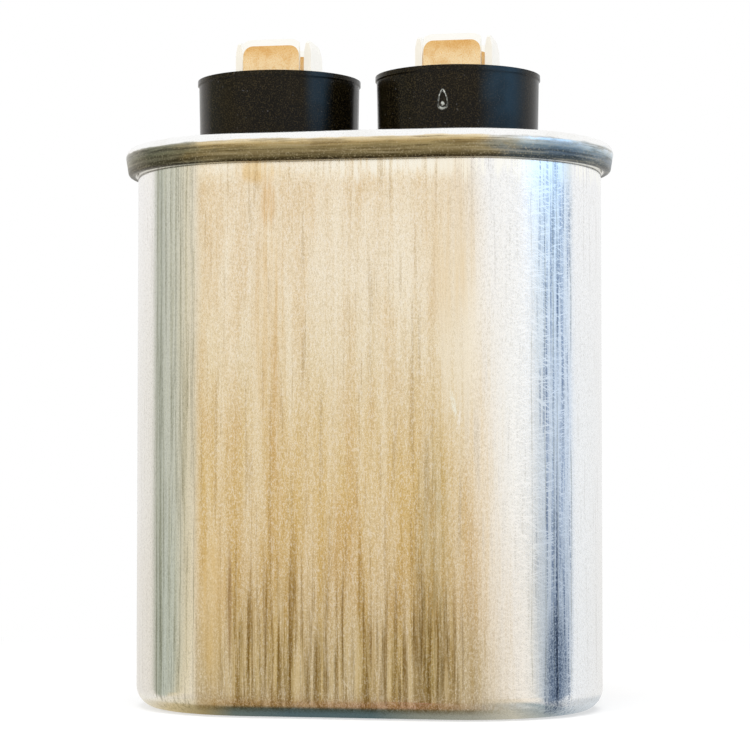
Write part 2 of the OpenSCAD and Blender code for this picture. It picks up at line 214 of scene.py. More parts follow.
# name: middle and half size in mm, turn about Y in degrees
WALL_MARKS = {
    "stain": ((-9.2, -15.3, 58.2), (3.4, 3, 1.9), 0),
    "drip": ((-8.0, -15.3, 54.8), (1.2, 2, 3.6), 0),
    "dull_patch": ((9.7, -15.3, 15.0), (2.6, 3, 21), 0),
    "bare_patch": ((12.4, -15.3, 41.0), (3.2, 3, 17), 0),
    "tan_streaks": ((12.0, -15.3, 51.0), (4.2, 3, 13), 3),
    "gold_column": ((-7.8, -15.3, 42.0), (2.4, 3, 17), 0),
    # The dark foot is a painted reflection of the blue-grey floor at the right end.
    "dark_foot_reflection": ((22.2, -10.2, 5.0), (2.0, 2.4, 9), 0),
    "deep_line": ((22.25, -10.1, 10.0), (0.14, 0.5, 24), 0),
    "upper_deep_line": ((21.75, -10.6, 46.0), (0.1, 0.5, 14), 0),
    "smooth_strip": ((-13.9, -15.0, 11.0), (1.9, 3, 12), 0),
    "dark_edge": ((-12.1, -15.3, 12.0), (0.35, 1, 8.5), 0),
    "long_scratch": ((0.65, -15.3, 3.6), (0.08, 0.6, 1.3), -40),
    "short_scratch": ((22.1, -10.2, 34.6), (0.09, 1.4, 1.5), 52),
    "cross_scratch": ((20.3, -12.0, 47.4), (0.07, 2.4, 2.2), 87),
    "nick": ((12.0, -15.3, 33.2), (0.34, 0.6, 1.9), -12),
    "nick_tail": ((12.6, -15.3, 31.7), (0.24, 0.6, 1.8), 10),
    # The pink line on the base's rounded edge is a painted reflection, not a scratch.
    "pink_foot_reflection": ((7.5, -15.3, 1.9), (4.2, 0.8, 0.09), 1),
}
marks = {}
for name, (middle, size, turn) in WALL_MARKS.items():
    away = from_ball(tree, place, middle, size, turn)
    marks[name] = add(
        tree, "MapRange", SMOOTH, {"Value": away, MIN_IN: MARK_ENDS, MAX_IN: MARK_FULL}
    )
# The deeper lines that a nick in the die draws up the whole wall: x, y, half width in mm.
DIE_LINES = [
    (-21.3, -11.1, 0.13),
    (-20.75, -11.6, 0.2),
    (-19.2, -12.8, 0.07),
    (-18.1, -13.45, 0.1),
    (-16.4, -14.2, 0.09),
    (19.9, -12.3, 0.07),
    (21.2, -11.2, 0.08),
    (22.0, -10.4, 0.12),
    (22.35, -10.0, 0.1),
    (23.6, -8.3, 0.1),
    (20.8, 11.6, 0.1),
    (-17.3, 13.8, 0.1),
    (3.2, 15.28, 0.08),
]
# Each is a ball drawn out along the whole wall: its middle's height and half its length.
LINE_MIDDLE, LINE_REACH = 30, 50
# The lines wander a little and are not quite as straight as a ruler.
WANDER = 1.2 * MM
wander = add(
    tree,
    "VectorMath",
    {"operation": "SUBTRACT"},
    {0: wall["cloud"], 1: (NOISE_MIDDLE, NOISE_MIDDLE, NOISE_MIDDLE)},
)
wander = add(
    tree,
    "VectorMath",
    {"operation": "MULTIPLY_ADD"},
    {0: wander, 1: (WANDER, 0, 0), 2: place},
)
FAR_AWAY = 9.0
nearest = FAR_AWAY
for x, y, half in DIE_LINES:
    away = from_ball(tree, wander, (x, y, LINE_MIDDLE), (half, half, LINE_REACH))
    nearest = add(tree, "Math", {"operation": "MINIMUM"}, {0: nearest, 1: away})
marks["die_lines"] = add(
    tree, "MapRange", SMOOTH, {"Value": nearest, MIN_IN: 1.3, MAX_IN: 0.6}
)
print("marks:", ", ".join(marks))

# %% Where the film lies
# The film, and the painted reflection that lies with it, covers the wide faces. Its right
# edge is soft and leans, so that it reaches further round at the foot; its left edge is
# crisp in front and soft behind. It stops at the base's rounded edge, which what it stood
# on has rubbed clean. The lean is in mm a mm, and the rest is in mm: where each edge
# begins and where the film is full.
FILM_LEAN, FILM_FRAY = 0.055, 5
FILM_RIGHT, FILM_LEFT, FILM_LEFT_BEHIND = (19.4, 11.6), (-16.7, -15.2), (-17, -9)
FILM_FOOT = (0.4, 1.3)
spot = add(tree, "SeparateXYZ", {}, {0: place})
sideways = add(
    tree,
    "Math",
    {"operation": "MULTIPLY_ADD"},
    {0: spot.outputs["Z"], 1: FILM_LEAN, 2: spot.outputs["X"]},
)
sideways = frayed(tree, sideways, wall["line"], FILM_FRAY * MM)
crisp_left, soft_left = (
    add(
        tree,
        "MapRange",
        SMOOTH,
        {"Value": value, MIN_IN: start * MM, MAX_IN: end * MM},
    )
    for value, (start, end) in (
        (spot.outputs["X"], FILM_LEFT),
        (sideways, FILM_LEFT_BEHIND),
    )
)
behind = add(
    tree, "MapRange", {}, {"Value": spot.outputs["Y"], MIN_IN: 0.0, MAX_IN: 1 * MM}
)
film_and_reflection = add(
    tree, "Mix", {"data_type": "FLOAT"}, {0: behind, 2: crisp_left, 3: soft_left}
)
for value, (start, end) in (
    (sideways, FILM_RIGHT),
    (spot.outputs["Z"], FILM_FOOT),
):
    film_and_reflection = narrowed(tree, film_and_reflection, value, start * MM, end * MM)
print("film leans by", FILM_LEAN)

# %% Colours of the wall
WALL_TOP = 60.0
# height in mm: the colour of the film and of the painted reflection, darker towards the
# foot as painted reflection of the floor, whitest just under the rim as a painted
# highlight
FILM_AND_REFLECTION = [
    (0, "#A8946A"),
    (2.2, "#AE9868"),
    (4, "#BCA772"),
    (7.4, "#C2AA70"),
    (12.4, "#D4B980"),
    (17, "#DDC184"),
    (24, "#E4CB92"),
    (30, "#E8D3A4"),
    (38, "#F1E5C9"),
    (47, "#F7EEDB"),
    (56.6, "#F1E2C7"),
    (57.8, "#F8EDD6"),
    (58.6, "#FFF9EA"),
]
level = add(
    tree,
    "MapRange",
    {},
    {"Value": spot.outputs["Z"], MIN_IN: 0.0, MAX_IN: WALL_TOP * MM},
)
straw_and_reflection = add(
    tree,
    "ValToRGB",
    {"stops": [(height / WALL_TOP, code) for height, code in FILM_AND_REFLECTION]},
    {0: level},
)
colour = add(
    tree, "Mix", COLOUR_MIX, {0: film_and_reflection, MIX_A: linear("#F7F8F9"), MIX_B: straw_and_reflection}
)
# Where the ends turn away there are bands of grey lines, under a net of fine bright
# scratches. Their blue and green-grey stand in for what the finest lines reflect.
BAND_FRAY = 2
# from the middle outwards, in mm: where each band begins, is full, wanes, has ended
BANDS = {
    "right": (20.5, 21.1, 23.5, 23.8),
    "left": (-16.0, -16.6, -21.2, -21.5),
    "scuffed": (15.0, 20.0, 23.6, 24.4),
}
inner_edge = frayed(tree, spot.outputs["X"], wall["line"], BAND_FRAY * MM)
bands = {}
for name, (begins, full, wanes, ended) in BANDS.items():
    band = narrowed(tree, EVERYWHERE, inner_edge, begins * MM, full * MM)
    bands[name] = narrowed(tree, band, spot.outputs["X"], ended * MM, wanes * MM)
# Near the base the wide faces break into upright streaks, olive and cream, that are
# painted reflection of the floor in front. They end each at a height of their own: every
# noise moves it by its own reach.
STREAKS_TOP, STREAKS_FOOT = 18, 5
ragged = spot.outputs["Z"]
for name, reach in (("band", -22), ("rag", -26), ("hair", -8)):
    ragged = frayed(tree, ragged, wall[name], reach * MM)
foot_streaks = narrowed(tree, film_and_reflection, ragged, STREAKS_TOP * MM, STREAKS_FOOT * MM)
# The streaks are fainter at the very foot, and to the left and right of the wide face.
# axis: at this place in mm, so much of them; at that one, so much
for axis, start, low, end, high in (
    ("Z", 0.6, 0.2, 4.5, 1.0),
    ("X", 13.8, 0.15, 11.8, 1.0),
    ("X", -13.8, 0.15, -12.6, 1.0),
):
    foot_streaks = narrowed(tree, foot_streaks, spot.outputs[axis], start * MM, end * MM, low, high)
# Right under the rim the metal is painted bright, and more so towards the right: a
# painted highlight.
RIM_FRAY, RIM_LINE = 5, (56.9, 58.3)
RIM_LEFT, RIM_RIGHT, RIM_LEFT_SHARE = -6, 4, 0.25
rim_highlight = narrowed(
    tree,
    EVERYWHERE,
    frayed(tree, spot.outputs["Z"], wall["rag"], RIM_FRAY * MM),
    RIM_LINE[0] * MM,
    RIM_LINE[1] * MM,
)
rim_highlight = narrowed(
    tree, rim_highlight, spot.outputs["X"], RIM_LEFT * MM, RIM_RIGHT * MM, RIM_LEFT_SHARE
)
print("worn below", STREAKS_TOP, "mm")

# %% Tints of the grain
# noise: where it starts and is full, strength, colour, mix, and where on the wall
WALL_TINTS = [
    ("band", 0.60, 0.36, 0.40, "#FFFAEC", "MIX", film_and_reflection),
    ("cloud", 0.48, 0.70, 0.35, "#E6CC98", "MULTIPLY", film_and_reflection),
    ("line", 0.55, 0.68, 0.25, "#EADCC0", "MULTIPLY", film_and_reflection),
    ("rag", 0.50, 0.64, 0.25, "#E8DABC", "MULTIPLY", film_and_reflection),
    ("line", 0.58, 0.68, 0.30, "#CBC8C2", "MULTIPLY", EVERYWHERE),
    ("rag", 0.46, 0.40, 0.70, "#FFFFFF", "MIX", bands["scuffed"]),
    ("fleck", 0.50, 0.60, 0.30, "#B9BCC0", "MULTIPLY", bands["scuffed"]),
    ("rag", 0.52, 0.58, 0.55, "#A4B6D2", "MULTIPLY", bands["right"]),
    ("line", 0.55, 0.60, 0.60, "#8D9FBA", "MULTIPLY", bands["right"]),
    ("band", 0.50, 0.62, 0.35, "#B9C6DA", "MULTIPLY", bands["right"]),
    ("line", 0.47, 0.42, 0.60, "#FFFFFF", "MIX", bands["right"]),
    ("rag", 0.52, 0.60, 0.45, "#C2BFAA", "MULTIPLY", bands["left"]),
    ("line", 0.54, 0.60, 0.35, "#B5B6A6", "MULTIPLY", bands["left"]),
    ("line", 0.46, 0.40, 0.40, "#F4F4EC", "MIX", bands["left"]),
    ("frost", 0.48, 0.62, 0.30, "#CFCCC6", "MULTIPLY", EVERYWHERE),
    ("frost", 0.46, 0.36, 0.38, "#FFFCF4", "MIX", EVERYWHERE),
    ("fleck", 0.52, 0.62, 0.30, "#FFFFFF", "MIX", EVERYWHERE),
    ("fleck", 0.46, 0.34, 0.22, "#BFB8A6", "MULTIPLY", EVERYWHERE),
    # These five paint the streaks near the foot, olive and cream: painted reflection of
    # the floor in front.
    ("rag", 0.47, 0.58, 0.60, "#BBA978", "MULTIPLY", foot_streaks),
    ("line", 0.50, 0.57, 0.55, "#B7A983", "MULTIPLY", foot_streaks),
    ("hair", 0.50, 0.62, 0.25, "#A89F80", "MULTIPLY", foot_streaks),
    ("rag", 0.46, 0.41, 0.50, "#DFCD9E", "MIX", foot_streaks),
    ("line", 0.45, 0.40, 0.45, "#E9D9B2", "MIX", foot_streaks),
    # Painted highlight just under the rim.
    ("line", 0.60, 0.45, 0.85, "#FFFEF6", "MIX", rim_highlight),
    ("rub", 0.56, 0.60, 0.90, "#FFFFFF", "MIX", bands["scuffed"]),
    ("counter_rub", 0.57, 0.61, 0.85, "#FFFFFF", "MIX", bands["scuffed"]),
]
for name, *look in WALL_TINTS:
    colour = tinted(tree, colour, wall[name], *look)
print("tints:", len(WALL_TINTS))

# %% Colours of the marks
# Noise breaks each mark up, but leaves at least this share of it.
BREAK_START, BREAK_END, LEAST_SHARE = 0.35, 0.6, 0.3
# mark: strength, colour, mix, and the noise that breaks it up
MARK_TINTS = [
    ("stain", 0.6, "#EED08F", "MULTIPLY", "line"),
    ("drip", 0.55, "#EBC88C", "MULTIPLY", "hair"),
    ("dull_patch", 0.65, "#D3D2C2", "MULTIPLY", "hair"),
    ("bare_patch", 0.65, "#FBF5E6", "MIX", "line"),
    ("tan_streaks", 0.5, "#EFDBB6", "MULTIPLY", "line"),
    ("gold_column", 0.5, "#EFD9AE", "MULTIPLY", "rag"),
    # Painted reflection: the blue-grey floor that the right end's foot mirrors.
    ("dark_foot_reflection", 0.85, "#76869A", "MULTIPLY", "frost"),
    ("deep_line", 1.0, "#4F6280", "MULTIPLY", "fleck"),
    ("upper_deep_line", 0.8, "#7288A8", "MULTIPLY", "fleck"),
    ("smooth_strip", 0.8, "#EFD7A2", "MIX", "band"),
    ("dark_edge", 0.7, "#B89A64", "MULTIPLY", "fleck"),
    ("die_lines", 0.5, "#A9A898", "MULTIPLY", "hair"),
    ("long_scratch", 0.8, "#F4EFE0", "MIX", "band"),
    ("short_scratch", 1.0, "#FFFFFF", "MIX", "band"),
    ("cross_scratch", 1.0, "#FFFFFF", "MIX", "band"),
    ("nick", 1.0, "#FBFFFA", "MIX", "fleck"),
    ("nick_tail", 0.8, "#FFFFFF", "MIX", "fleck"),
    # Painted reflection: a pink line on the base's rounded edge.
    ("pink_foot_reflection", 0.6, "#C78F86", "MIX", "cloud"),
]
for name, strength, code, kind, breaker in MARK_TINTS:
    amount = narrowed(
        tree,
        marks[name],
        wall[breaker],
        BREAK_START,
        BREAK_END,
        LEAST_SHARE * strength,
        strength,
    )
    colour = add(
        tree,
        "Mix",
        {**COLOUR_MIX, "blend_type": kind},
        {0: amount, MIX_A: colour, MIX_B: linear(code)},
    )
print("mark tints:", len(MARK_TINTS))

# %% The can's shader
# Bare metal is glossier than the film, and the streaks near the foot are the dullest. A
# little grain in the gloss keeps reflections from lying flat.
BARE_ROUGHNESS, FILM_ROUGHNESS = 0.10, 0.17
gloss = add(
    tree,
    "MapRange",
    {},
    {"Value": film_and_reflection, MIN_OUT: BARE_ROUGHNESS, MAX_OUT: FILM_ROUGHNESS},
)
for value, share in ((wall["fleck"], 0.08), (wall["hair"], 0.06), (foot_streaks, 0.08)):
    gloss = add(
        tree,
        "Math",
        {"operation": "MULTIPLY_ADD"},
        {0: value, 1: share, 2: gloss},
    )
# The drawn lines are a few micrometres deep.
relief = add(
    tree,
    "Bump",
    {},
    {"Strength": 0.5, "Distance": 0.008 * MM, "Height": wall["hair"]},
)
shader = add(
    tree,
    "BsdfPrincipled",
    {},
    {
        "Base Color": colour,
        "Metallic": 1.0,
        "Roughness": gloss,
        "Normal": relief,
    },
)
add(tree, "OutputMaterial", {}, {"Surface": shader})
solids["can"].data.materials[0] = drawn
print("made", drawn.name, "with", len(tree.nodes), "nodes")

# %% [markdown]
# ## Rolled aluminium
#
# The cover is the same metal, but rolled and pressed, so it has no drawn lines. The
# rolls that closed the seam left its outer wall dull, and grease and dust have settled
# there. Its colour there also holds painted light: it is darkest at the seam's foot as
# painted shade under the seam, tan and olive higher up as painted reflection, and white
# towards the crown as a painted highlight.

# %% The cover's material
# The seam's outer wall runs between these heights, in mm.
SEAM_FOOT, SEAM_CROWN = 59.2, 61.6
# height in mm: what the grime and the painted shade leave of the metal's colour at the
# left end, in the middle and at the right end. Dark at the foot is painted shade, white at
# the top a painted highlight, and the tan between, the greyer left and the bluer right
# stand in for what the dull metal reflects there: painted reflection.
GRIME_AND_SHADING = [
    (59.2, "#3A372B", "#2E2718", "#434A4E"),
    (59.6, "#5E5A4A", "#7C7458", "#5F696E"),
    (60.0, "#7E7B6C", "#998E6E", "#74828F"),
    (60.5, "#868674", "#A69B77", "#8699A6"),
    (60.85, "#84847A", "#C0AF84", "#C4D5E0"),
    (61.1, "#8A8A80", "#E4D4AC", "#DEEAF4"),
    (61.4, "#B4B4AC", "#F3E3C2", "#F4F9FD"),
    (61.52, "#FFFFFF", "#FFFFFF", "#FFFFFF"),
]
# Where the ends' tones begin and rule, in mm along the oval.
LEFT_END, RIGHT_END = (-13.5, -18.5), (14.0, 19.5)
rolled, tree = new_material("rolled_aluminium")
place = add(tree, "TexCoord").outputs["Object"]
# name: size along the sheet and size upwards, in mm; the rollers drew lines lengthways
ROLLED_GRAIN = {
    "speck": (0.18, 0.18),
    "smudge": (2.2, 0.9),
    "wash": (6.0, 6.0),
    "roller": (9.0, 0.24),
    "groove": (3.5, 0.45),
}
rolled_grain = {}
for name, (along, upwards) in ROLLED_GRAIN.items():
    stretched = add(
        tree,
        "Mapping",
        {"vector_type": "TEXTURE"},
        {"Vector": place, "Scale": (along * MM, along * MM, upwards * MM)},
    )
    rolled_grain[name] = add(
        tree, "TexNoise", {}, {"Vector": stretched, "Scale": 1.0, "Detail": 3.0}
    )
spot = add(tree, "SeparateXYZ", {}, {0: place})
smudged = frayed(tree, spot.outputs["Z"], rolled_grain["smudge"], 0.5 * MM)
level = add(
    tree,
    "MapRange",
    {},
    {"Value": smudged, MIN_IN: SEAM_FOOT * MM, MAX_IN: SEAM_CROWN * MM},
)
seam_span = SEAM_CROWN - SEAM_FOOT
left_tone, grime_and_shading, right_tone = [
    add(
        tree,
        "ValToRGB",
        {"stops": [((row[0] - SEAM_FOOT) / seam_span, row[column]) for row in GRIME_AND_SHADING]},
        {0: level},
    )
    for column in (1, 2, 3)
]
along = frayed(tree, spot.outputs["X"], rolled_grain["smudge"], 8 * MM)
for end_tone, (start, end) in ((left_tone, LEFT_END), (right_tone, RIGHT_END)):
    amount = add(
        tree, "MapRange", SMOOTH, {"Value": along, MIN_IN: start * MM, MAX_IN: end * MM}
    )
    grime_and_shading = add(tree, "Mix", COLOUR_MIX, {0: amount, MIX_A: grime_and_shading, MIX_B: end_tone})
# Only the seam's outer wall gets the grime and the painted shade: the sunk panel and the
# crown are clean. The wall is told by its distance from the line between the oval's two
# centres, in mm.
WALL_STARTS, WALL_FULL = 15.5, 15.7
flattened = add(
    tree, "VectorMath", {"operation": "MULTIPLY"}, {0: place, 1: (1, 1, 0)}
)
middle = nearest_between(tree, flattened, (-HALF_FLAT, 0, 0), (HALF_FLAT, 0, 0))
away = add(tree, "VectorMath", {"operation": "DISTANCE"}, {0: flattened, 1: middle})
outside = narrowed(
    tree, EVERYWHERE, away.outputs["Value"], WALL_STARTS * MM, WALL_FULL * MM
)
colour = add(
    tree,
    "Mix",
    {**COLOUR_MIX, "blend_type": "MULTIPLY"},
    {0: outside, MIX_A: linear("#FAFAF9"), MIX_B: grime_and_shading},
)
dirty = narrowed(tree, outside, level, 1.0, 0.85)
# noise: where it starts and is full, strength, colour, mix, where
for name, *look in (
    ("wash", 0.50, 0.70, 0.15, "#D9D3C4", "MULTIPLY", EVERYWHERE),
    ("smudge", 0.50, 0.66, 0.40, "#C4BCA8", "MULTIPLY", dirty),
    ("speck", 0.52, 0.72, 0.22, "#CFCCC4", "MULTIPLY", EVERYWHERE),
    ("roller", 0.50, 0.62, 0.55, "#9A9280", "MULTIPLY", dirty),
    ("groove", 0.52, 0.66, 0.40, "#8E8674", "MULTIPLY", dirty),
    ("roller", 0.44, 0.34, 0.22, "#DDD6C0", "MIX", dirty),
    ("speck", 0.46, 0.34, 0.35, "#CFC8B0", "MIX", dirty),
):
    colour = tinted(tree, colour, rolled_grain[name], *look)
gloss = add(
    tree,
    "MapRange",
    SMOOTH,
    {"Value": level, MIN_IN: 1.0, MAX_IN: 0.3, MIN_OUT: 0.22, MAX_OUT: 0.34},
)
relief = add(
    tree,
    "Bump",
    {},
    {"Strength": 0.4, "Distance": 0.004 * MM, "Height": rolled_grain["speck"]},
)
shader = add(
    tree,
    "BsdfPrincipled",
    {},
    {"Base Color": colour, "Metallic": 1.0, "Roughness": gloss, "Normal": relief},
)
add(tree, "OutputMaterial", {}, {"Surface": shader})
solids["cover"].data.materials[0] = rolled
print("made", rolled.name)

# %% [markdown]
# ## Moulded phenolic
#
# The cups are moulded from black phenolic resin with wood flour in it. Under a satin
# skin the filler gives a brown cast and a fine speckle. Where the moulding gate was
# broken off, the drop-shaped mark and its stub show pale torn resin. The mark itself is
# in the solid, so only its colour is made here, by distance from its middle.

# %% The cups' material
# The wood flour's speckle is drawn at 0.14 mm, about as fine as still shows.
phenolic, tree = new_material("moulded_phenolic")
place = add(tree, "TexCoord").outputs["Object"]
resin = {}
for name, size in (("flour", 0.14), ("peel", 0.7), ("flow", 5.0), ("dust", 0.3)):
    resin[name] = add(
        tree, "TexNoise", {}, {"Vector": place, "Scale": 1 / (size * MM), "Detail": 2.0}
    )
colour = linear("#0A0804")
# noise: where it starts and is full, strength, colour
for name, *look in (
    ("flow", 0.40, 0.65, 0.8, "#130E03"),
    ("flour", 0.50, 0.64, 1.0, "#2E2717"),
    ("dust", 0.70, 0.76, 0.3, "#77787A"),
):
    colour = tinted(tree, colour, resin[name], *look)
# The right side of each cup shines faintly blue. The strip is in the colour and stands
# in for a reflection: a card that is bright enough to show in black would whiten the
# can's top too.
aside = add(tree, "SeparateXYZ", {}, {0: place}).outputs["X"]
blooms = 0.0
# the strip's middle and half width in mm, and its strength
for middle, half, strength in ((16.2, 2.9, 0.75), (-4.3, 1.6, 0.5)):
    apart = add(tree, "Math", {"operation": "SUBTRACT"}, {0: aside, 1: middle * MM})
    apart = add(tree, "Math", {"operation": "ABSOLUTE"}, {0: apart})
    bloom = add(
        tree,
        "MapRange",
        SMOOTH,
        {"Value": apart, MIN_IN: half * MM, MAX_IN: 0.2 * half * MM, MAX_OUT: strength},
    )
    blooms = add(tree, "Math", {"operation": "ADD"}, {0: blooms, 1: bloom})
patchy = add(
    tree,
    "MapRange",
    {},
    {"Value": resin["flow"], MIN_IN: 0.35, MAX_IN: 0.6, MIN_OUT: 0.3},
)
blooms = add(tree, "Math", {"operation": "MULTIPLY"}, {0: blooms, 1: patchy})
colour = add(
    tree, "Mix", COLOUR_MIX, {0: blooms, MIX_A: colour, MIX_B: linear("#20394A")}
)
# The torn marks. In mm: the middle, then half the size. Then where the torn resin
# begins, is full and ends, as shares of that size: a gate mark is a ring, a stub a dot.
GATE_SIZE, STUB_SIZE = (0.52, 0.9, 1.0), (0.26, 0.5, 0.32)
TORN = [
    ((9.89, -8.95, 66.35), GATE_SIZE, 0.78, 0.95, 1.2),
    ((-6.85, 8.30, 66.35), GATE_SIZE, 0.78, 0.95, 1.2),
    ((9.89, -9.0, 65.9), STUB_SIZE, 0.0, 0.5, 1.0),
    ((-6.85, 8.30, 65.9), STUB_SIZE, 0.0, 0.5, 1.0),
]
torn = 0.0
for middle, size, inner, crest, outer in TORN:
    turned = add(
        tree,
        "Mapping",
        {"vector_type": "TEXTURE"},
        {
            "Vector": place,
            "Location": [v * MM for v in middle],
            "Scale": [v * MM for v in size],
        },
    )
    # Widening the offset sideways as it rises draws the ball to a point at the top.
    apart = add(tree, "SeparateXYZ", {}, {0: turned}).outputs
    taper = add(
        tree,
        "MapRange",
        {},
        {"Value": apart["Z"], MIN_IN: -1.0, MIN_OUT: 0.68, MAX_OUT: 1.45},
    )
    taper = add(tree, "CombineXYZ", {}, {"X": taper, "Y": 1.0, "Z": 1.0})
    turned = add(tree, "VectorMath", {"operation": "MULTIPLY"}, {0: turned, 1: taper})
    away = add(tree, "VectorMath", {"operation": "LENGTH"}, {0: turned}).outputs["Value"]
    edge = narrowed(tree, EVERYWHERE, away, outer, crest)
    if inner:
        edge = narrowed(tree, edge, away, inner, crest)
    torn = add(tree, "Math", {"operation": "MAXIMUM"}, {0: torn, 1: edge})
torn = narrowed(tree, torn, resin["dust"], 0.42, 0.54, 0.2)
colour = add(
    tree, "Mix", COLOUR_MIX, {0: torn, MIX_A: colour, MIX_B: linear("#C6C8C0")}
)
gloss = add(
    tree,
    "MapRange",
    {},
    {"Value": resin["flow"], MIN_IN: 0.3, MAX_IN: 0.7, MIN_OUT: 0.16, MAX_OUT: 0.26},
)
relief = add(
    tree,
    "Bump",
    {},
    {"Strength": 0.5, "Distance": 0.012 * MM, "Height": resin["peel"]},
)
shader = add(
    tree,
    "BsdfPrincipled",
    {},
    {
        "Base Color": colour,
        "Roughness": gloss,
        "Specular IOR Level": 0.14,
        "Normal": relief,
    },
)
add(tree, "OutputMaterial", {}, {"Surface": shader})
for node in ("left_cup", "right_cup"):
    solids[node].data.materials[0] = phenolic
print("made", phenolic.name)

# %% [markdown]
# ## Tinned brass
#
# The blades are stamped from brass strip with a thin wash of tin. On the broad faces in
# front and behind, the tin has worn and the brass shows through it as a warm tan, in a
# fine grain. The coined edges, the tips and the side blades are painted almost white, a
# painted highlight of how they look from the front. The surface's own direction tells
# these apart.

# %% The blades' material
# The strip's real grain is finer than the 0.13 mm that it is given here.
brass, tree = new_material("brass_strip")
place = add(tree, "TexCoord").outputs["Object"]
strip = {}
for name, size in (("grain", 0.13), ("wear", 1.1)):
    strip[name] = add(
        tree, "TexNoise", {}, {"Vector": place, "Scale": 1 / (size * MM), "Detail": 3.0}
    )
facing = add(tree, "NewGeometry").outputs["Normal"]
facing = add(tree, "SeparateXYZ", {}, {0: facing}).outputs["Y"]
facing = add(tree, "Math", {"operation": "ABSOLUTE"}, {0: facing})
broad = narrowed(tree, EVERYWHERE, facing, 0.966, 0.984)
# The side blades' sheared edges face the same way, but lie further from the cup's axis.
CUP_AXIS, BLADE_EDGE, EDGE_FADE = 10.2, 3.2, 0.2
aside = add(tree, "SeparateXYZ", {}, {0: place}).outputs["X"]
aside = add(tree, "Math", {"operation": "ABSOLUTE"}, {0: aside})
aside = add(tree, "Math", {"operation": "SUBTRACT"}, {0: aside, 1: CUP_AXIS * MM})
aside = add(tree, "Math", {"operation": "ABSOLUTE"}, {0: aside})
broad = narrowed(
    tree, broad, aside, (BLADE_EDGE + EDGE_FADE) * MM, BLADE_EDGE * MM
)
# Everything but the broad faces is painted near white: a painted highlight.
colour = add(
    tree,
    "Mix",
    COLOUR_MIX,
    {0: broad, MIX_A: linear("#FFFDF6"), MIX_B: linear("#FBE2B6")},
)
# noise: where it starts and is full, strength, colour, mix
for name, *look in (
    ("wear", 0.45, 0.65, 0.5, "#F3DDB2", "MULTIPLY"),
    ("grain", 0.48, 0.66, 0.6, "#EFD6A6", "MULTIPLY"),
    ("grain", 0.46, 0.34, 0.35, "#FFF9E8", "MIX"),
):
    colour = tinted(tree, colour, strip[name], *look, broad)
# The broad faces are browner towards their tips, from and to these heights in mm.
BROWN_STARTS, BROWN_FULL = 71.4, 73.6
rise = add(tree, "SeparateXYZ", {}, {0: place}).outputs["Z"]
colour = tinted(
    tree,
    colour,
    rise,
    BROWN_STARTS * MM,
    BROWN_FULL * MM,
    0.8,
    "#EFD7AA",
    "MULTIPLY",
    broad,
)
gloss = add(
    tree,
    "MapRange",
    {},
    {"Value": strip["wear"], MIN_IN: 0.3, MAX_IN: 0.7, MIN_OUT: 0.26, MAX_OUT: 0.38},
)
relief = add(
    tree,
    "Bump",
    {},
    {"Strength": 0.5, "Distance": 0.003 * MM, "Height": strip["grain"]},
)
shader = add(
    tree,
    "BsdfPrincipled",
    {},
    {"Base Color": colour, "Metallic": 1.0, "Roughness": gloss, "Normal": relief},
)
add(tree, "OutputMaterial", {}, {"Surface": shader})
for node in ("left_terminal", "right_terminal"):
    solids[node].data.materials[0] = brass
print("made", brass.name)

# %% [markdown]
# ## The other finishes
#
# The rest are told apart by a base colour, how rough they are and how coarse their
# surface is, so one recipe with a table serves them all: a fine grain that moves the
# colour a little, and a larger one that moves the roughness.

# %% A recipe for plain finishes


def finish(name, code, dark, metallic, roughness, grain, depth):
    """A material with a fine grain: grain is its size, depth its height, in metres."""
    material, tree = new_material(name)
    place = add(tree, "TexCoord").outputs["Object"]
    small = add(
        tree, "TexNoise", {}, {"Vector": place, "Scale": 1 / grain, "Detail": 4.0}
    )
    large = add(
        tree, "TexNoise", {}, {"Vector": place, "Scale": 0.06 / grain, "Detail": 3.0}
    )
    both = add(tree, "Math", {"operation": "MULTIPLY"}, {0: large, 1: small})
    amount = add(tree, "MapRange", SMOOTH, {"Value": both, MIN_IN: 0.15, MAX_IN: 0.4})
    mottled = add(
        tree, "Mix", COLOUR_MIX, {0: amount, MIX_A: linear(dark), MIX_B: linear(code)}
    )
    gloss = add(
        tree,
        "MapRange",
        SMOOTH,
        {
            "Value": large,
            MIN_IN: 0.35,
            MAX_IN: 0.65,
            MIN_OUT: roughness * 0.85,
            MAX_OUT: roughness * 1.15,
        },
    )
    relief = add(tree, "Bump", {}, {"Strength": 0.5, "Distance": depth, "Height": small})
    shader = add(
        tree,
        "BsdfPrincipled",
        {},
        {
            "Base Color": mottled,
            "Metallic": metallic,
            "Roughness": gloss,
            "Normal": relief,
        },
    )
    add(tree, "OutputMaterial", {}, {"Surface": shader})
    return material


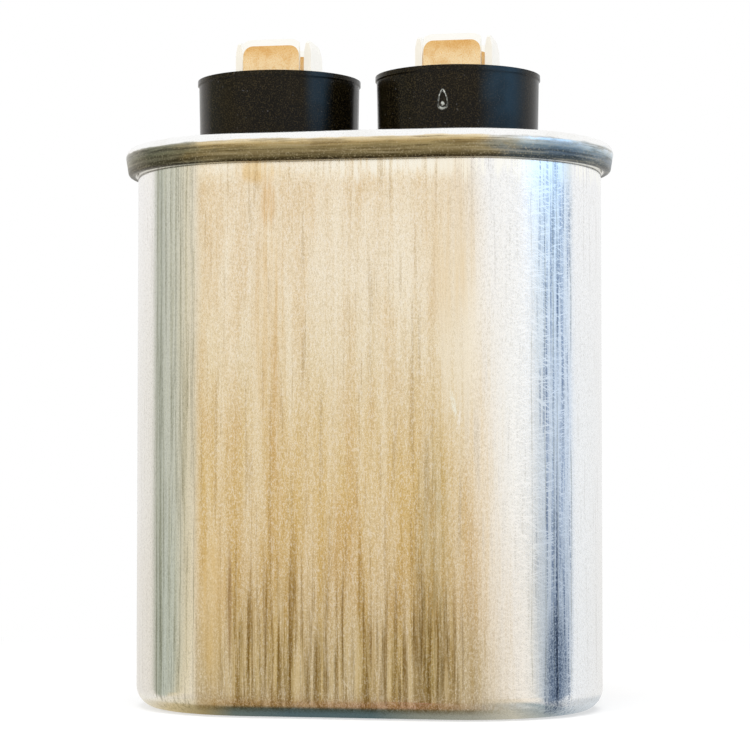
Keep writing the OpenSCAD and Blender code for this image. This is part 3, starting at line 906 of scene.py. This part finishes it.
# name: (colour, darker patches, metallic, roughness, grain in mm, its height in mm), nodes
FINISHES = {
    # Nickel-plated steel: bright grey, smooth.
    "nickelled_steel": (
        ("#CFC9BD", "#A8A196", 1.0, 0.22, 0.3, 0.002),
        ["left_rivet", "right_rivet"],
    ),
    # Nitrile rubber: matt black.
    "nitrile_rubber": (
        ("#232323", "#181818", 0.0, 0.7, 0.2, 0.01),
        ["left_gasket", "right_gasket", "seam_compound"],
    ),
    # Natural nylon: milky.
    "natural_nylon": (
        ("#E8E0CC", "#DCD2BA", 0.0, 0.4, 0.4, 0.005),
        ["left_bushing", "right_bushing"],
    ),
    # Tinned copper: soft grey metal.
    "tinned_copper": (
        ("#C9C8C4", "#ABA9A2", 1.0, 0.3, 0.15, 0.003),
        ["left_lug", "right_lug", "short_lead", "long_lead"],
    ),
    # Fluoropolymer sleeve: waxy white.
    "sleeving": (("#F1EEE6", "#E5E1D5", 0.0, 0.35, 0.3, 0.002), ["lead_sleeve"]),
    # Tin solder: bright where it set, dull where it froze last.
    "tin_solder": (
        ("#BFC3C8", "#94989E", 1.0, 0.28, 0.3, 0.01),
        ["upper_solder", "lower_solder"],
    ),
    # Metallised film: silvery roll edges under clear plastic.
    "metallised_film": (
        ("#C9C6BC", "#B4B0A4", 1.0, 0.35, 0.12, 0.002),
        ["winding"],
    ),
    # Polypropylene: milky plastic.
    "polypropylene": (
        ("#ECEAE2", "#E0DDD2", 0.0, 0.45, 0.5, 0.003),
        ["winding_core", "insulating_tray"],
    ),
    # Sprayed zinc: dull grey and grainy.
    "sprayed_zinc": (
        ("#8F9498", "#6E7377", 1.0, 0.6, 0.15, 0.05),
        ["upper_spray", "lower_spray"],
    ),
    # Wrapping film: yellowish plastic.
    "wrap_film": (
        ("#D8CFA8", "#C9BE92", 0.0, 0.25, 0.8, 0.002),
        ["insulating_wrap"],
    ),
    # Pressboard: fibrous tan.
    "pressboard": (
        ("#C8A878", "#A98A5C", 0.0, 0.8, 0.1, 0.02),
        ["insulating_plate"],
    ),
}
for name, (look, nodes) in FINISHES.items():
    *tones, grain, depth = look
    made = finish(name, *tones, grain * MM, depth * MM)
    for node in nodes:
        solids[node].data.materials[0] = made
    print(name, "->", ", ".join(nodes))

# %% [markdown]
# ## Studio
#
# Bare metal shows only what stands round it, so half of its look is made here. The room
# is white. A ring of cards that only reflections see stands round the can: cream in
# front, grey-green to the left, blue to the right and white elsewhere. A second one lies
# on the floor, which is what the lower part of the wall mirrors, and darkens towards the
# can as any floor does where the can shades it.

# %% Studio helpers


def seen_by_eye(tree):
    """1 for what the camera, a reflection or a glass sees, 0 for light on its way."""
    ray = add(tree, "LightPath").outputs
    seen = add(
        tree,
        "Math",
        {"operation": "MAXIMUM"},
        {0: ray["Is Camera Ray"], 1: ray["Is Glossy Ray"]},
    )
    return add(
        tree,
        "Math",
        {"operation": "MAXIMUM"},
        {0: seen, 1: ray["Is Transmission Ray"]},
    )


def keep(shape, name):
    """A bmesh as an object of the scene."""
    mesh = bpy.data.meshes.new(name)
    shape.to_mesh(mesh)
    shape.free()
    made = bpy.data.objects.new(name, mesh)
    bpy.context.scene.collection.objects.link(made)
    return made


BACKDROP = "#FFFFFF"
print("backdrop", BACKDROP)

# %% Floor
FLOOR_RADIUS = 6.0
# The floor as the eye sees it: part of it is its own white, so that the shadow shows
# near the can, and further out it is the backdrop's.
# The shadow's share of the tone near the can, and between which distances in m it fades.
SHADOW_SHARE, SHADOW_START, SHADOW_REACH = 0.5, 0.02, 0.12
shape = bmesh.new()
bmesh.ops.create_circle(shape, cap_ends=True, segments=64, radius=FLOOR_RADIUS)
floor = keep(shape, "floor")
paper, tree = new_material("white_paper")
place = add(tree, "TexCoord").outputs["Object"]
away = add(tree, "VectorMath", {"operation": "LENGTH"}, {0: place}).outputs["Value"]
share = narrowed(
    tree, seen_by_eye(tree), away, SHADOW_START, SHADOW_REACH, 1 - SHADOW_SHARE
)
diffuse = add(tree, "BsdfDiffuse", {}, {"Color": linear("#F6F6F6")})
glow = add(tree, "Emission", {}, {"Color": linear(BACKDROP), "Strength": 1.0})
shown = add(tree, "MixShader", {}, {0: share, 1: diffuse, 2: glow})
add(tree, "OutputMaterial", {}, {"Surface": shown})
floor.data.materials.append(paper)
print("floor", floor.dimensions)

# %% World
WORLD_LIGHT = 0.55
world = bpy.data.worlds.new("studio")
bpy.context.scene.world = world
world.use_nodes = True
tree = world.node_tree
tree.nodes.clear()
seen = seen_by_eye(tree)
level = add(tree, "MapRange", {}, {"Value": seen, MIN_OUT: WORLD_LIGHT, MAX_OUT: 1.0})
sky = add(tree, "Background", {}, {"Color": linear(BACKDROP), "Strength": level})
add(tree, "OutputWorld", {}, {"Surface": sky})
print("world", WORLD_LIGHT)

# %% The cards' colours
# azimuth (0 is the front, 90 the right), card high up, at eye level, floor
CARDS = [
    (-180, "#F8F8F8", "#F4F3F2", "#F0EEEB"),
    (-108.5, "#FBF7F3", "#EEE9E0", "#E9E2D6"),
    (-106, "#BFC0B2", "#B4B5A5", "#ABAC9B"),
    (-96, "#B9BCAE", "#B4B7A8", "#AAAF9E"),
    (-91, "#D0D0C3", "#C9CABC", "#C2C6B9"),
    (-78, "#D4D3C3", "#C8C8B8", "#C0C4B5"),
    (-62, "#E3DAC2", "#DCD0B2", "#DDCFAE"),
    (-50, "#FAF3E6", "#F2E8D5", "#EDE1C8"),
    (-20, "#FCF8F1", "#F2E9DA", "#E3D7C1"),
    (8, "#FCF8F1", "#F2E9DA", "#E3D7C1"),
    (20, "#FFFFFF", "#FAEFDE", "#F1E4D0"),
    (50, "#FFFFFF", "#FFFEFA", "#F5ECDF"),
    (64, "#FFFFFF", "#FAFAF9", "#EFEAE0"),
    (72, "#ECF7FD", "#DCE2E7", "#C4CACE"),
    (90, "#D6EAFC", "#CAD9EC", "#A3B2C4"),
    (108, "#DFEBF7", "#D4E1F1", "#B4C0CE"),
    (110.5, "#FEFEFF", "#F8FAFC", "#F4F6F8"),
    (180, "#F8F8F8", "#F4F3F2", "#F0EEEB"),
]
# position along the oval in mm: the floor right under the can's rounded base, and the
# floor just outside it
CONTACT = [
    (-26, "#E9E4D8", "#EFEAE0"),
    (-20, "#CDBB92", "#E6DAC0"),
    (-15.5, "#9C8C64", "#D9C7A8"),
    (-12, "#66716A", "#D7C1A5"),
    (-6, "#54666A", "#D4BDA3"),
    (3, "#56686A", "#D6B8A4"),
    (8, "#8A8C80", "#DFBEAE"),
    (14, "#A09E90", "#DCCFC0"),
    (18, "#C4BFAE", "#C0BBAC"),
    (20.8, "#A5ACAA", "#C8CAC6"),
    (22.3, "#A8B2B8", "#9CA9AC"),
    (24, "#C4CBD0", "#CFD1D3"),
    (26, "#DADFE3", "#D6DADD"),
]
print("cards:", len(CARDS))

# %% How the cards are told apart
CARD_RADIUS, CARD_HEIGHT = 1.5, 0.5
# Where rays leave the wall: azimuth is counted from the nearest point of this line.
HUB_X, HUB_Y = 22 * MM, -11 * MM
cards, tree = new_material("cards")
place = add(tree, "TexCoord").outputs["Object"]
hub = nearest_between(tree, place, (-HUB_X, HUB_Y, 0), (HUB_X, HUB_Y, 0))
way = add(tree, "VectorMath", {"operation": "SUBTRACT"}, {0: place, 1: hub})
way = add(tree, "SeparateXYZ", {}, {0: way}).outputs
front = add(tree, "Math", {"operation": "MULTIPLY"}, {0: way["Y"], 1: -1.0})
turn = add(tree, "Math", {"operation": "ARCTAN2"}, {0: way["X"], 1: front})
turn = add(
    tree, "MapRange", {}, {"Value": turn, MIN_IN: -math.pi, MAX_IN: math.pi}
)
tones = [
    add(
        tree,
        "ValToRGB",
        {"stops": [((row[0] + 180) / 360, row[column]) for row in CARDS]},
        {0: turn},
    )
    for column in (1, 2, 3)
]
reach = CONTACT[-1][0]
along = add(tree, "SeparateXYZ", {}, {0: place}).outputs["X"]
along = add(
    tree, "MapRange", {}, {"Value": along, MIN_IN: -reach * MM, MAX_IN: reach * MM}
)
tone, fringe = [
    add(
        tree,
        "ValToRGB",
        {"stops": [((row[0] + reach) / (2 * reach), row[column]) for row in CONTACT]},
        {0: along},
    )
    for column in (1, 2)
]
print("tones:", len(tones))

# %% Near and far
core = nearest_between(tree, place, (-HALF_FLAT, 0, 0), (HALF_FLAT, 0, 0))
away = add(tree, "VectorMath", {"operation": "DISTANCE"}, {0: place, 1: core})
away = away.outputs["Value"]
height = add(tree, "SeparateXYZ", {}, {0: place}).outputs["Z"]
# which tone follows, what decides, from, to in mm
CARD_STEPS = [
    (fringe, away, 15.2, 16.0),
    (tones[2], away, 16.5, 21),
    (tones[1], away, 200, 1400),
    (tones[0], height, 60, 250),
]
for after, value, start, end in CARD_STEPS:
    amount = add(
        tree, "MapRange", SMOOTH, {"Value": value, MIN_IN: start * MM, MAX_IN: end * MM}
    )
    tone = add(tree, "Mix", COLOUR_MIX, {0: amount, MIX_A: tone, MIX_B: after})
# A strip of bright sky stands high on the right, where the cups catch it.
window = EVERYWHERE
# in degrees: where its two sides begin and are full
for start, end in ((56, 64), (104, 94)):
    window = narrowed(tree, window, turn, (180 + start) / 360, (180 + end) / 360)
WINDOW_FOOT, WINDOW_FULL, WINDOW_POWER = 0.245, 0.27, 2.4
window = narrowed(tree, window, height, WINDOW_FOOT, WINDOW_FULL)
tone = add(
    tree, "Mix", COLOUR_MIX, {0: window, MIX_A: tone, MIX_B: linear("#A2C6EC")}
)
power = add(
    tree, "MapRange", {}, {"Value": window, MIN_OUT: 1.0, MAX_OUT: WINDOW_POWER}
)
glow = add(tree, "Emission", {}, {"Color": tone, "Strength": power})
add(tree, "OutputMaterial", {}, {"Surface": glow})
print("cards from", CARD_RADIUS, "m")

# %% Ring and sheet
# A small edge, upright for the ring and lying for the sheet, is spun all the way round.
SHEET_LEVEL = 0.05 * MM
SHEET_HOLE = 10 * MM
CARD_EDGES = {
    "card_ring": ((CARD_RADIUS, 0), (CARD_RADIUS, CARD_HEIGHT)),
    "card_sheet": ((SHEET_HOLE, SHEET_LEVEL), (CARD_RADIUS, SHEET_LEVEL)),
}
for name, edge in CARD_EDGES.items():
    shape = bmesh.new()
    ends = [shape.verts.new((out, 0, up)) for out, up in edge]
    shape.edges.new(ends)
    bmesh.ops.spin(
        shape,
        geom=shape.verts[:] + shape.edges[:],
        cent=(0, 0, 0),
        axis=(0, 0, 1),
        angle=math.tau,
        steps=96,
        use_merge=True,
    )
    board = keep(shape, name)
    board.visible_camera = False
    board.visible_diffuse = False
    board.visible_shadow = False
    board.visible_transmission = False
    board.visible_volume_scatter = False
    board.data.materials.append(cards)
    print(name, board.dimensions)

# %% Lamps


def soft_lamp(name, place, target, size, power):
    """A square area lamp that looks at a point and shows in no reflection."""
    lamp = bpy.data.lights.new(name, "AREA")
    lamp.shape = "SQUARE"
    lamp.size = size
    lamp.energy = power
    made = bpy.data.objects.new(name, lamp)
    made.location = place
    made.rotation_euler = (
        (Vector(target) - Vector(place)).to_track_quat("-Z", "Y").to_euler()
    )
    made.visible_glossy = False
    bpy.context.scene.collection.objects.link(made)
    return made


MIDDLE = (0, 0, 0.035)
top_lamp = soft_lamp("top_softbox", (0.1, -0.2, 0.9), MIDDLE, 0.7, 7.0)
side_lamp = soft_lamp("front_softbox", (-0.6, -0.7, 0.5), MIDDLE, 0.6, 5.0)
print("lamps", top_lamp.data.energy, side_lamp.data.energy)

# %% Camera
# It stands low and a little to the right, about 27 cm from the can's middle.
lens = bpy.data.cameras.new("camera")
lens.lens = 116.7
lens.sensor_width = 36
lens.clip_start = 0.01
camera = bpy.data.objects.new("camera", lens)
camera.location = (0.0502, -0.2673, 0.0262)
camera.rotation_euler = (math.radians(92.26), 0, math.radians(10.47))
bpy.context.scene.collection.objects.link(camera)
bpy.context.scene.camera = camera
bpy.context.scene.view_settings.view_transform = "Standard"
print("camera", tuple(camera.location))
